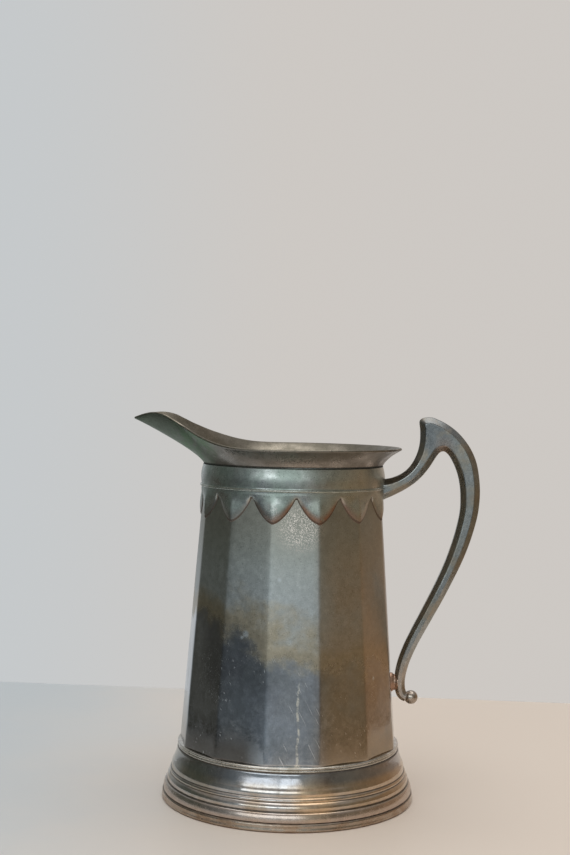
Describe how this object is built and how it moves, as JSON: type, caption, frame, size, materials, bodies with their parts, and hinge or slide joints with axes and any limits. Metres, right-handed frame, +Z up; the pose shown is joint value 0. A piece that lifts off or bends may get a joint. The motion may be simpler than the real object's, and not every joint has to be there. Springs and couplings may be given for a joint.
{
  "type": "water pitcher",
  "caption": "Tapered panelled water pitcher with a scalloped collar, a flared lip with a long open spout, a faceted loop handle and a stepped round foot.",
  "frame": {"origin": "centre of the foot's underside, on the body's axis", "axes": "+Z up the body's axis, +X towards the handle, -X towards the spout"},
  "size_m": [0.1941, 0.14, 0.2134],
  "materials": {
    "body_plate": "satin",
    "inside_plate": "satin",
    "collar_plate": "satin",
    "bead_wire": "satin",
    "lip_plate": "satin",
    "foot_plate": "gloss",
    "handle_plate": "satin",
    "solder_copper": "satin"
  },
  "bodies": {
    "root": {"panelled_body": "body_plate", "floor_plate": "inside_plate", "scalloped_collar": "collar_plate", "collar_bead": "bead_wire", "lip_and_spout": "lip_plate", "foot_skirt": "foot_plate", "foot_band": "foot_plate", "joint_wire": "bead_wire", "handle": "handle_plate", "handle_lug": "solder_copper", "scroll_ball": "handle_plate"}
  },
  "joints": []
}
